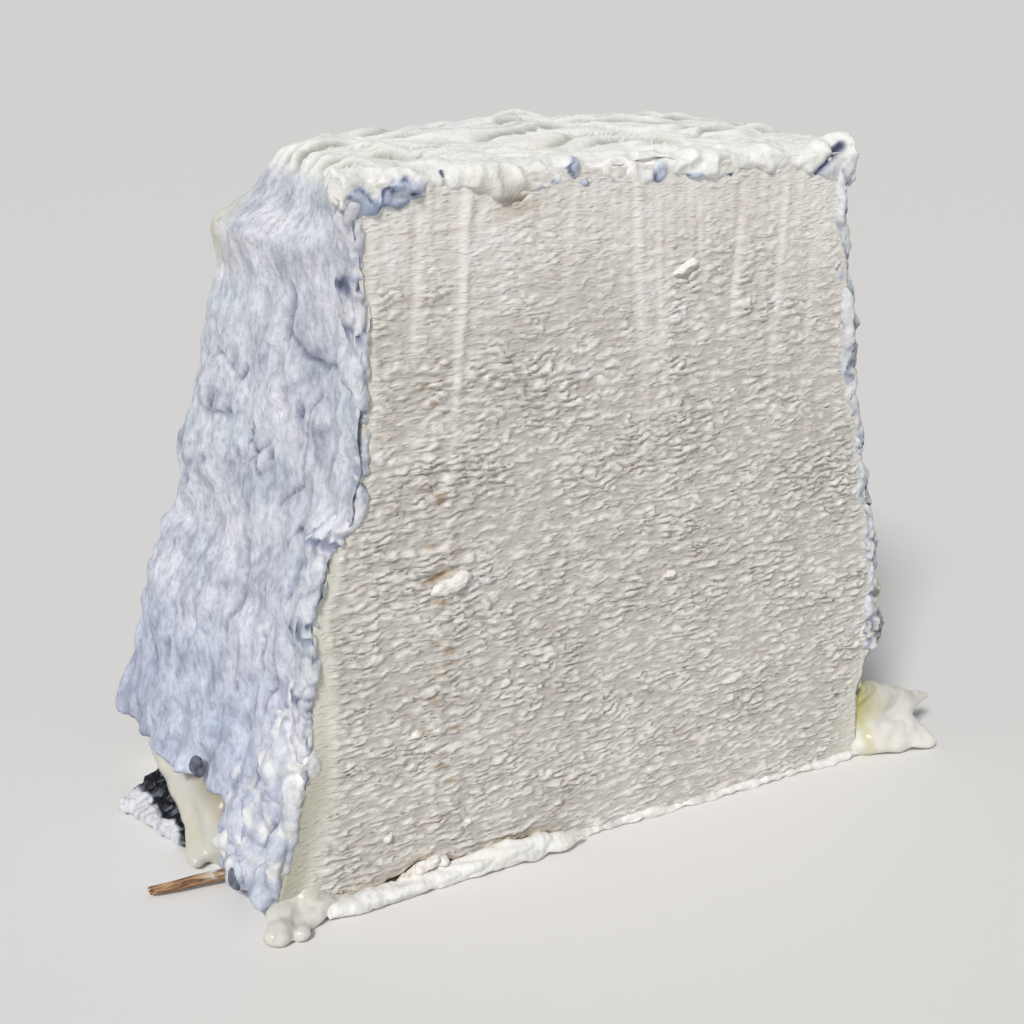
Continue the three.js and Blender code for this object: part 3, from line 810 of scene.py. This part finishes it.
def make_lobe():
    bm = bmesh.new()
    for route, *how in TONGUES:
        along_route(bm, behind_cut(*route), *how)
    x, deep, z, half_wide, half_tall = PELLETS[0]
    for turn in np.linspace(0, 2 * math.pi, 12):
        y = CUT_Y + deep + 1.5 * half_wide * math.cos(turn)
        dab(bm, (x - 1.0, y, z + 1.25 * half_tall * math.sin(turn)), (0.45, 0.45, 0.45))
    bm = fused(bm, 0.22, rounds=9)
    places = roughen(bm, [(4, 0.4), (0.9, 0.13), (0.45, 0.08)],
                     lumps=[((2.8, 2.9, 3.8), 0.55), ((1.2, 1.2, 1.5), 0.14)])
    creases = 1 - ease(abs(waves(places, (2.8, 2.9, 4.2), 50)), 0.0, 0.16)
    behind = places[:, 1] - CUT_Y
    ash = 0.02 + 0.25 * creases + 0.28 * ease(waves(places, (2.4, 2.4, 3), 47), 0.1, 0.5)
    puffs = ease(waves(places, (2, 2, 2.4), 71), -0.1, 0.4)
    under = (1 - ease(places[:, 2], 1.2, 2.4)) * ease(behind, 3, 4.4)
    over_cut = (1 - ease(behind, -0.5, 3)) * ease(places[:, 2], 8, 13)
    fields(bm, ash=np.maximum(ash * (1 - over_cut), 0.5 * under), top=0.2 + 0.3 * over_cut + 0.5 * puffs,
           blue=0.35 * (1 - over_cut) * (1 - puffs))
    return piece_from(bm, "rind_lobe", ash_rind)


def make_pellets():
    """Two flattened pellets of ash, dark grey and rough."""
    bm = bmesh.new()
    for x, deep, z, half_wide, half_tall in PELLETS:
        dab(bm, (x - 1.1, CUT_Y + deep, z), (0.7, 1.4 * half_wide, half_tall), (0, 12, 0))
        dab(bm, (x - 0.95, CUT_Y + deep - 0.4, z - 0.4), (0.7, half_wide, 0.8 * half_tall), (0, 12, 0))
    bm = fused(bm, 0.14)
    places = roughen(bm, [(0.8, 0.12), (0.35, 0.08)])
    fields(bm, ash=0.66 + 0.3 * waves(places, 0.5, 46), black=0.4)
    return piece_from(bm, "ash_pellets", ash_rind)


lobe = make_lobe()
pellets = make_pellets()


# Torn flap
# A corner of rind splayed on the table beside the foot. It shows its inner side, black with wet ash,
# and its outer mould curls up round the edge in pale lumps.

# The flap's corners: the high and the low end of its root, and its tip.
FLAP_CORNERS = behind_cut((-38.6, 26.4, 3.6), (-38.9, 15.8, 0.9), (-43.3, 25.8, 0.9))


def make_flap():
    bm = bmesh.new()
    high_root, low_root, tip = (Vector(corner) for corner in FLAP_CORNERS)
    for row in np.linspace(0, 1, 10):
        start, end = high_root.lerp(tip, row), low_root.lerp(tip, row)
        for share in np.linspace(0, 1, max(2, int(12 * (1 - row)))):
            dab(bm, start.lerp(end, share), (0.9, 0.9, 0.6), (15, -20, 0))
    near_hem = [low_root + Vector((-0.2, -0.2, 0)), low_root.lerp(tip, 0.5) + Vector((-0.3, -0.5, 0.1)), tip]
    along_route(bm, near_hem, (0.8, 0.8, 0.7), (1.1, 1.0, 0.9), step=0.8, stray=0.5, seed=32)
    far_hem = [high_root.lerp(tip, 0.5), tip]
    along_route(bm, far_hem, (0.7, 0.8, 0.7), (0.9, 0.9, 0.8), step=0.8, stray=0.4, seed=34)
    bm = fused(bm, 0.17)
    places = places_of(bm) / MM
    to_root = Vector((0.92, 0.1, 0.35)).normalized()
    root = (places - np.array(low_root.lerp(high_root, 0.5))) @ np.array(to_root)
    inner = ease(root + 1.6 * waves(places, (1.4, 1.4, 1.4), 48), -2.6, -1.9)
    fibres = waves(places, (2.4, 0.5, 0.9), 57)
    places[:, 2] += inner * 0.35 * fibres
    put_places(bm, places)
    bm.normal_update()
    places = roughen(bm, [(1.5, 0.3), (0.6, 0.16), (0.3, 0.07)], lumps=[(1.3, 0.2)])
    black = inner * ease(fibres, -0.42, -0.25)
    fields(bm, ash=0.06 + 0.5 * inner + 0.25 * ease(-fibres, 0, 0.4), black=black, top=0.4)
    return piece_from(bm, "rind_flap", ash_rind)


flap = make_flap()


# Creamy foot and drips
# Ripe paste under the torn rind and at the near corner: it has crept down, stands in a thin white wall
# at the far side of the tear, and lies in rounded drips on the table. It is smooth and moist.
ripe_cream = curd_material("ripe_cream", roughness=0.32, specular=0.5, spotted=0.12, grain=0, glow=0.25)

# The thin wall: its place across, from and to how far behind the cut, and half its width.
WALL_ACROSS, WALL_FROM, WALL_TO, WALL_HALF = -35, 13, 36, 3.9

# The flows of cream down and under the tear, and the drips, with the same columns as the tongues.
FLOWS = [
    ([(-38.4, 28.4, 7), (-38.6, 26.4, 5), (-38.3, 23, 3.8), (-38.5, 17, 2.4), (-39.4, 13.4, 1.3),
      (-39.6, 12.2, 0.9)], (1.3, 2.2, 2.2), (1.0, 1.3, 0.9), 0.5, 0.1, 38),
    ([(-39.3, 12.6, 0.9), (-37.6, 12.2, 1.6), (-36.2, 11.6, 2.6)],
     (0.9, 0.9, 0.8), (1.1, 0.9, 1.1), 0.6, 0.15, 40),
]
DRIPS = [
    ([(-33.4, 1.0, 1.2), (-34.6, -0.6, 1.1), (-35.5, -2.2, 0.9), (-36.0, -3.2, 0.8)],
     (1.9, 1.8, 1.5), (1.4, 1.2, 0.9), 0.4, 0.15, 42),
    ([(-31.0, -0.4, 0.9), (-32.2, -1.6, 0.8), (-33.6, -2.4, 0.7)],
     (1.6, 1.3, 1.0), (1.1, 1.0, 0.8), 0.4, 0.15, 44),
    ([(-31.2, 0.95, 2.4), (-32, -0.2, 1.1), (-33.2, -1.6, 0.6)],
     (1.6, 0.75, 1.8), (1.7, 1.2, 0.6), 0.4, 0.05, 46),
    ([(-29.2, 0.7, 0.9), (-29.8, -1.0, 0.5)], (1.8, 0.8, 0.9), (1.8, 1.1, 0.5), 0.4, 0.15, 48),
]


def make_foot():
    bm = bmesh.new()
    for deep in np.arange(WALL_FROM, WALL_TO, 1.2):
        reach = WALL_HALF + 0.15 * wander(deep, 6, 36)
        dab(bm, (WALL_ACROSS, CUT_Y + deep, 2.4), (reach, 2.6, 5.4))
        dab(bm, (WALL_ACROSS, CUT_Y + deep, 1.0), (reach, 2.6, 1.4))
    for route, *how in FLOWS:
        along_route(bm, behind_cut(*route), *how)
    bm = fused(bm, 0.25, rounds=14)
    places = roughen(bm, [(3.5, 0.22), (0.9, 0.06)])
    hollow = ease(places[:, 0], -38.4, -36.4)
    # Painted tan and olive-grey shadow in the upper part of the hollow, under the rind's torn edge.
    stain_and_shade = hollow * ease(places[:, 2] + 1.2 * waves(places, (3, 3, 3), 49), 3.2, 6.4)
    pool = spot(places, (-37.6, CUT_Y + 15, 2.2), (2, 2, 0.9))
    fields(bm, cream=0.35 + 0.5 * hollow, low=0.4, shade=0.15 + 0.5 * stain_and_shade, olive=0.4 * pool,
           tan=0.4 * stain_and_shade)
    return piece_from(bm, "creamy_foot", ripe_cream)


def make_drips():
    bm = bmesh.new()
    for route, *how in DRIPS:
        along_route(bm, behind_cut(*route), *how)
    dab(bm, (-33.9, CUT_Y - 3.5, 0.75), (0.95, 0.8, 0.75))
    bm = fused(bm, 0.18, rounds=6)
    places = roughen(bm, [(2.2, 0.22), (0.9, 0.1), (0.45, 0.04)])
    pink = spot(places, (-33.9, CUT_Y - 3.6, 0.8), 0.8)
    fields(bm, cream=0.3 * ease(places[:, 2], 0.8, 3), low=0.25 + 0.4 * ease(waves(places, 1.3, 58), 0, 0.4),
           shade=0.2 * ease(places[:, 2], 1.2, 2.8), tan=0.2 * pink)
    return piece_from(bm, "corner_drips", ripe_cream)


foot = make_foot()
drips = make_drips()


# Base rind
# The rind of the base has come away under the cut and lies as a pale ribbon in front of it, with a dark
# gap behind, and ends in a free tip. Further right a thin ragged edge of it shows.

# Both are given by places across, behind the cut and up, and half sizes in the last two ways.
RIBBON = [(-30.8, -1.4, 0.5, 0.9, 0.5), (-28.6, -1.4, 0.6, 1.3, 0.6), (-26, -1.4, 0.65, 1.4, 0.7),
          (-23, -1.2, 0.6, 1.3, 0.6), (-19, -1.1, 0.75, 1.2, 0.7), (-15.4, -1.2, 1.0, 1.2, 0.9),
          (-11.5, -1.3, 1.3, 1.2, 1.25), (-8, -1.4, 1.3, 1.0, 1.1), (-5.4, -1.6, 1.1, 0.7, 0.6),
          (-3.2, -1.8, 1.0, 0.25, 0.15)]
FRINGE = [(-6.5, 0.2, 0.3, 0.6, 0.3), (-2, 0.1, 0.35, 0.8, 0.35), (12, 0, 0.4, 0.8, 0.4),
          (26, 0, 0.4, 0.8, 0.4), (34.2, 0.2, 0.4, 0.7, 0.4)]
# The lump of paste that stayed on the base rind: dabs with their places across and up and half sizes.
LUMP = [(-21.8, 1.1, 1.0), (-20.6, 1.9, 1.0), (-19.4, 2.2, 0.9), (-18.4, 1.8, 0.8), (-22.8, 0.9, 0.8)]


def make_base_rind(name, stations, rings, ribs):
    bm = rod([(x, CUT_Y + deep, z, half_deep, half_high) for x, deep, z, half_deep, half_high in stations],
             (0, 1, 0), (0, 0, 1), rings=rings, sides=36, boxy=2.5)
    places = roughen(bm, [((4, 2, 2), 0.3), ((0.8, 2, 2.4), ribs), (0.4, 0.06)],
                     lumps=[((3.2, 1.4, 1.2), 0.2)], seed=46)
    thin = 0.16 * ease(waves(places, (3, 2, 1), 59), 0.1, 0.5)
    fields(bm, ash=0.02 + thin, top=0.9, cream=0.2 * ease(waves(places, (3, 3, 3), 51), 0, 0.5))
    return piece_from(bm, name, ash_rind)


def make_paste_lump():
    bm = bmesh.new()
    for x, z, half in LUMP:
        dab(bm, (x, CUT_Y - 0.35, z), (half, 0.8 * half, 0.6 * half), (0, -20, 0))
    bm = fused(bm, 0.14, rounds=2)
    roughen(bm, [(0.9, 0.18), (0.4, 0.1)], lumps=[((1.2, 1, 0.6), 0.18)], seed=48)
    return piece_from(bm, "paste_lump", curd)


ribbon = make_base_rind("base_rind", RIBBON, 220, 0.08)
fringe = make_base_rind("base_fringe", FRINGE, 240, 0.2)
paste_lump = make_paste_lump()


# Smear
# Ripe paste dragged out by the knife at the lower right corner in two points, wet, and yellow-green
# where it leaves the cheese. A web of paste joins the two points up to WEB_END of their length.
UPPER_POINT = behind_cut((34.0, 1.6, 7.2), (37, 1.9, 6.6), (41, 2.0, 5.2), (44.9, 2.0, 3.9))
LOWER_POINT = behind_cut((34.0, 0.3, 1.3), (37, -1.2, 1.3), (40.2, -2.2, 1.1), (42.3, -2.7, 0.8))
WEB_END = 0.7


def along(route, share):
    """The place at this share of a route whose legs are about equally long."""
    leg = min(int(share * (len(route) - 1)), len(route) - 2)
    return Vector(route[leg]).lerp(Vector(route[leg + 1]), share * (len(route) - 1) - leg)


def make_smear():
    bm = bmesh.new()
    for share in np.linspace(0, 1, 44):
        high, low = along(UPPER_POINT, share), along(LOWER_POINT, share)
        thick = lerp(1.3, 0.55, share)
        notch = 0.5 * (1 - share) / (1 - WEB_END)
        for row in [r for r in np.linspace(0, 1, 13) if min(r, 1 - r) <= notch]:
            between = math.sin(math.pi * row)
            size = thick * (1 - 0.3 * between) * (1 + 0.2 * wander(share * 10 + 4 * row, 1.2, 54))
            size *= 1 + 0.4 * spot(row, 0.8, 0.2)
            dab(bm, high.lerp(low, row) + Vector((0, 0.5 * between, 0)), (size, 0.85 * size, size))
    bm = fused(bm, 0.18, rounds=5)
    places = roughen(bm, [(2.6, 0.25), (0.9, 0.06)], lumps=[((4, 1.8, 1.6), 0.16)], seed=52)
    ragged = 0.8 * waves(places, (1.5, 1.5, 1.5), 52)
    root = (1 - ease(places[:, 0] + ragged, 34, 38)) * ease(places[:, 2], 3, 5.5)
    junction = 1 - ease(abs(places[:, 0] + 0.15 * places[:, 2] - 34.6 + 0.5 * ragged), 0.2, 1.0)
    fields(bm, olive=0.7 * root + 0.4 * junction, cream=0.35 + 0.3 * junction,
           low=0.45 * ease(places[:, 2], 3.2, 5), shade=0.4 * root)
    return piece_from(bm, "smear", ripe_cream)


smear = make_smear()


# Crumbs
# Crumbs of curd that the knife has lifted off the cut face and left stuck to it. They are given by their
# places across and up, half lengths and half heights, slopes in degrees, and how far they stand out.
CRUMBS = [(-16.9, 31.3, 2.1, 0.75, -20, 0.55), (7.2, 58.2, 1.4, 0.35, -25, 0.15),
          (-21, 16.4, 1.1, 0.3, -8, 0.1), (-23.8, 6.3, 0.6, 0.4, -50, 0.1),
          (-15.4, 5.6, 0.5, 0.3, 0, 0.05), (6.9, 27.6, 0.9, 0.3, -10, 0.15)]
CRUMB_DEPTH = 0.55


def make_crumbs():
    bm = bmesh.new()
    for x, z, half_long, half_tall, slope, stand in CRUMBS:
        place = Matrix.Translation(Vector((x, CUT_Y - stand, z)) * MM)
        turned = Matrix.Rotation(math.radians(slope), 4, "Y")
        size = Matrix.Diagonal((half_long * MM, CRUMB_DEPTH * MM, half_tall * MM, 1))
        bmesh.ops.create_icosphere(bm, subdivisions=4, radius=1, matrix=place @ turned @ size)
    bm.normal_update()
    roughen(bm, [(1.1, 0.35), (0.5, 0.14), (0.3, 0.08)], seed=60)
    return piece_from(bm, "crumbs", curd)


crumbs = make_crumbs()


# Straw
# The stub of a stalk of the mat that the cheese ripened on, caught under the rind: dry, brown, flattened
# and slightly split, with a bloom of mould near its root.
STRAW_ROUTE = behind_cut((-33.8, 8.2, 1.1), (-39.5, 8.4, 1), (-44.9, 9.4, 0.66))
STRAW_RINGS, STRAW_SIDES = 40, 18
ROOT_HALF, END_HALF = 0.78, 0.46
BLOOM_AT = -38.6


# Dried straw: a tan husk over pale fibres, dull, with dark weathered streaks along the stalk.
def make_straw_material():
    material = new_material("dry_straw")
    fibres = in_mm(material, stretch=(3, 0.3, 0.3))
    streak = add(material, "ShaderNodeTexNoise", {"Vector": fibres, "Scale": 1, "Detail": 5}).outputs["Fac"]
    brown = add(material, "ShaderNodeValToRGB", {"Fac": streak},
                stops=[(0.32, "#4B3424"), (0.45, "#7F5B3E"), (0.57, "#B08C66"), (0.7, "#D6BC98")])
    colour = coats(material, brown.outputs["Color"], [("bloom", "#D9D6D2", "MIX")])
    bump = add(material, "ShaderNodeBump", {"Height": streak, "Strength": 0.7, "Distance": 0.0002})
    surface = add(material, "ShaderNodeBsdfPrincipled", {
        "Base Color": colour,
        "Roughness": 0.7,
        "Normal": bump.outputs["Normal"],
    })
    add(material, "ShaderNodeOutputMaterial", {"Surface": surface.outputs["BSDF"]})
    return material


dry_straw = make_straw_material()


def make_straw():
    bm = unit_bar(STRAW_SIDES, STRAW_RINGS, inset=0.3)
    unit = places_of(bm)
    share = unit[:, 2] + 0.5
    start, middle, end = (np.array(p) for p in STRAW_ROUTE)
    way = share[:, None]
    centre = (1 - way) ** 2 * start + 2 * way * (1 - way) * middle + way**2 * end
    turn = np.arctan2(unit[:, 1], unit[:, 0])
    around = np.stack([5 * share, 1.3 * np.cos(turn), 1.3 * np.sin(turn)], -1)
    ribbed = 1 + 0.1 * np.cos(5 * turn + 2 * share) + 0.16 * waves(around, (1, 1, 1), 53)
    reach = np.hypot(unit[:, 0], unit[:, 1]) * lerp(ROOT_HALF, END_HALF, share) * ribbed
    places = centre + np.stack([0 * share, np.cos(turn) * reach, 0.85 * np.sin(turn) * reach], -1)
    ragged = waves(around, (0.5, 0.5, 0.5), 54) * (share > 0.97)
    places[:, 0] += 0.5 * ragged + 0.2 * (share > 0.97)
    places[:, 2] = np.maximum(places[:, 2], 0.02)
    put_places(bm, places)
    bloom = spot(places[:, 0], BLOOM_AT, 0.9) * ease(waves(places, (0.6, 0.6, 0.6), 55), -0.3, 0.1)
    fields(bm, bloom=bloom * ease(places[:, 2], 0.8, 1.3))
    bmesh.ops.recalc_face_normals(bm, faces=bm.faces)
    return piece_from(bm, "straw_stub", dry_straw)


straw = make_straw()
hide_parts("straw")


# Camera, floor and light
# A camera in front and to the left, looking down on the cut face, over a pale table. One soft lamp and an
# evenly lit room light it.

# The camera sees nothing nearer than NEAREST. The table's side is in metres, so that its edge lies far off.
CAMERA_AT = (-65.7, -126.8, 83.3)
CAMERA_YAW, CAMERA_PITCH = 26.7, 20.6
LENS, SENSOR_WIDTH = 50.08, 36
NEAREST = 5
TABLE_SIZE = 24

camera = bpy.data.objects.new("camera", bpy.data.cameras.new("camera"))
bpy.context.scene.collection.objects.link(camera)
yaw, pitch = math.radians(CAMERA_YAW), math.radians(CAMERA_PITCH)
aim = Vector((math.sin(yaw) * math.cos(pitch), math.cos(yaw) * math.cos(pitch), -math.sin(pitch)))
camera.location = Vector(CAMERA_AT) * MM
camera.rotation_euler = aim.to_track_quat("-Z", "Y").to_euler()
camera.data.lens = LENS
camera.data.sensor_width = SENSOR_WIDTH
camera.data.clip_start = NEAREST * MM
bpy.context.scene.camera = camera

# Matt white laminate: plain and pale, without gloss, so that only the soft shadow shows on it.
table_top = new_material("white_laminate")
surface = add(table_top, "ShaderNodeBsdfPrincipled", {"Base Color": linear("#EAE9E7"), "Roughness": 0.8})
add(table_top, "ShaderNodeOutputMaterial", {"Surface": surface.outputs["BSDF"]})
bm = bmesh.new()
bmesh.ops.create_grid(bm, x_segments=1, y_segments=1, size=TABLE_SIZE / 2)
table_mesh = bpy.data.meshes.new("table")
bm.to_mesh(table_mesh)
bm.free()
table_mesh.materials.append(table_top)
table = bpy.data.objects.new("table", table_mesh)
bpy.context.scene.collection.objects.link(table)

# A large soft lamp, far off to the front left and above, lights the table evenly. Its softness is an angle
# in degrees.
KEY_FROM = (-270, -245, 370)
KEY_STRENGTH = 2.45
KEY_SOFTNESS = 14
ROOM_STRENGTH = 0.33
key = bpy.data.lights.new("key_lamp", "SUN")
key.energy = KEY_STRENGTH
key.angle = math.radians(KEY_SOFTNESS)
key.color = linear("#FFFDFA")[:3]
holder = bpy.data.objects.new("key_lamp", key)
holder.location = Vector(KEY_FROM) * MM
holder.rotation_euler = (-Vector(KEY_FROM)).to_track_quat("-Z", "Y").to_euler()
bpy.context.scene.collection.objects.link(holder)

world = bpy.data.worlds.new("studio")
world.use_nodes = True
room = world.node_tree.nodes["Background"]
room.inputs["Color"].default_value = linear("#E6E9EE")
room.inputs["Strength"].default_value = ROOM_STRENGTH
bpy.context.scene.world = world
bpy.context.scene.view_settings.view_transform = "Standard"
